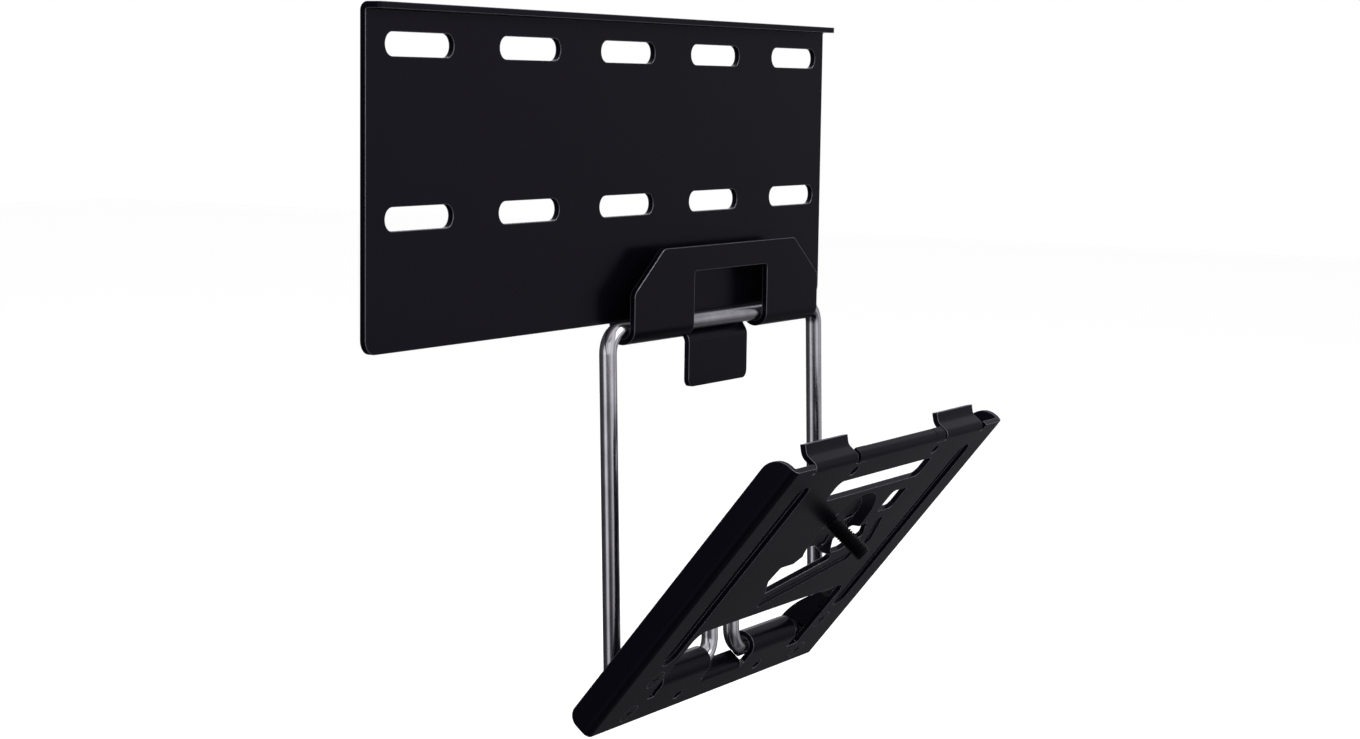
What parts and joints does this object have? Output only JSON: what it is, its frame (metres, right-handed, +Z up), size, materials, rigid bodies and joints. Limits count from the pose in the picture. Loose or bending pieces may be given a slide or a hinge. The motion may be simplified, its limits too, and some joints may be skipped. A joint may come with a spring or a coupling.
{
  "type": "fixed tv bracket",
  "caption": "Flat wall bracket for a television: slotted wall plate with a folded hook, a wire link that lets the set drop down and tilt, and a pressed television plate with a centre stud",
  "frame": {"origin": "On the wall, at the middle of the wall plate's slot pattern, on the plate's back face", "axes": "+X to the right along the slot rows, +Y into the wall, +Z up. The bracket is shown in its service position, with the television plate tilted out"},
  "size_m": [0.2818, 0.0864, 0.2439],
  "materials": {
    "black_coat": "satin black powder coat on sheet steel",
    "bright_steel": "bright zinc-plated drawn rod",
    "black_plastic": "matt black moulded plastic",
    "black_steel": "blackened steel fasteners"
  },
  "bodies": {
    "wall": {"wall_plate": "black_coat"},
    "link": {"wire_link": "bright_steel"},
    "tv": {"tv_plate": "black_coat", "rod_block_left": "black_plastic", "rod_block_right": "black_plastic", "tv_stud": "black_steel", "block_screw_1": "black_steel", "block_screw_2": "black_steel", "block_screw_3": "black_steel", "block_screw_4": "black_steel"}
  },
  "joints": [
    {"name": "link_swing", "type": "hinge", "parent": "wall", "child": "link", "pos_m": [0.058, -0.0051, -0.0677], "axis": [-1, 0, 0], "range_deg": [0, 90]},
    {"name": "plate_tilt", "type": "hinge", "parent": "link", "child": "tv", "pos_m": [0.058, -0.00873, -0.19015], "axis": [1, 0, 0], "range_deg": [-38, 50]}
  ]
}
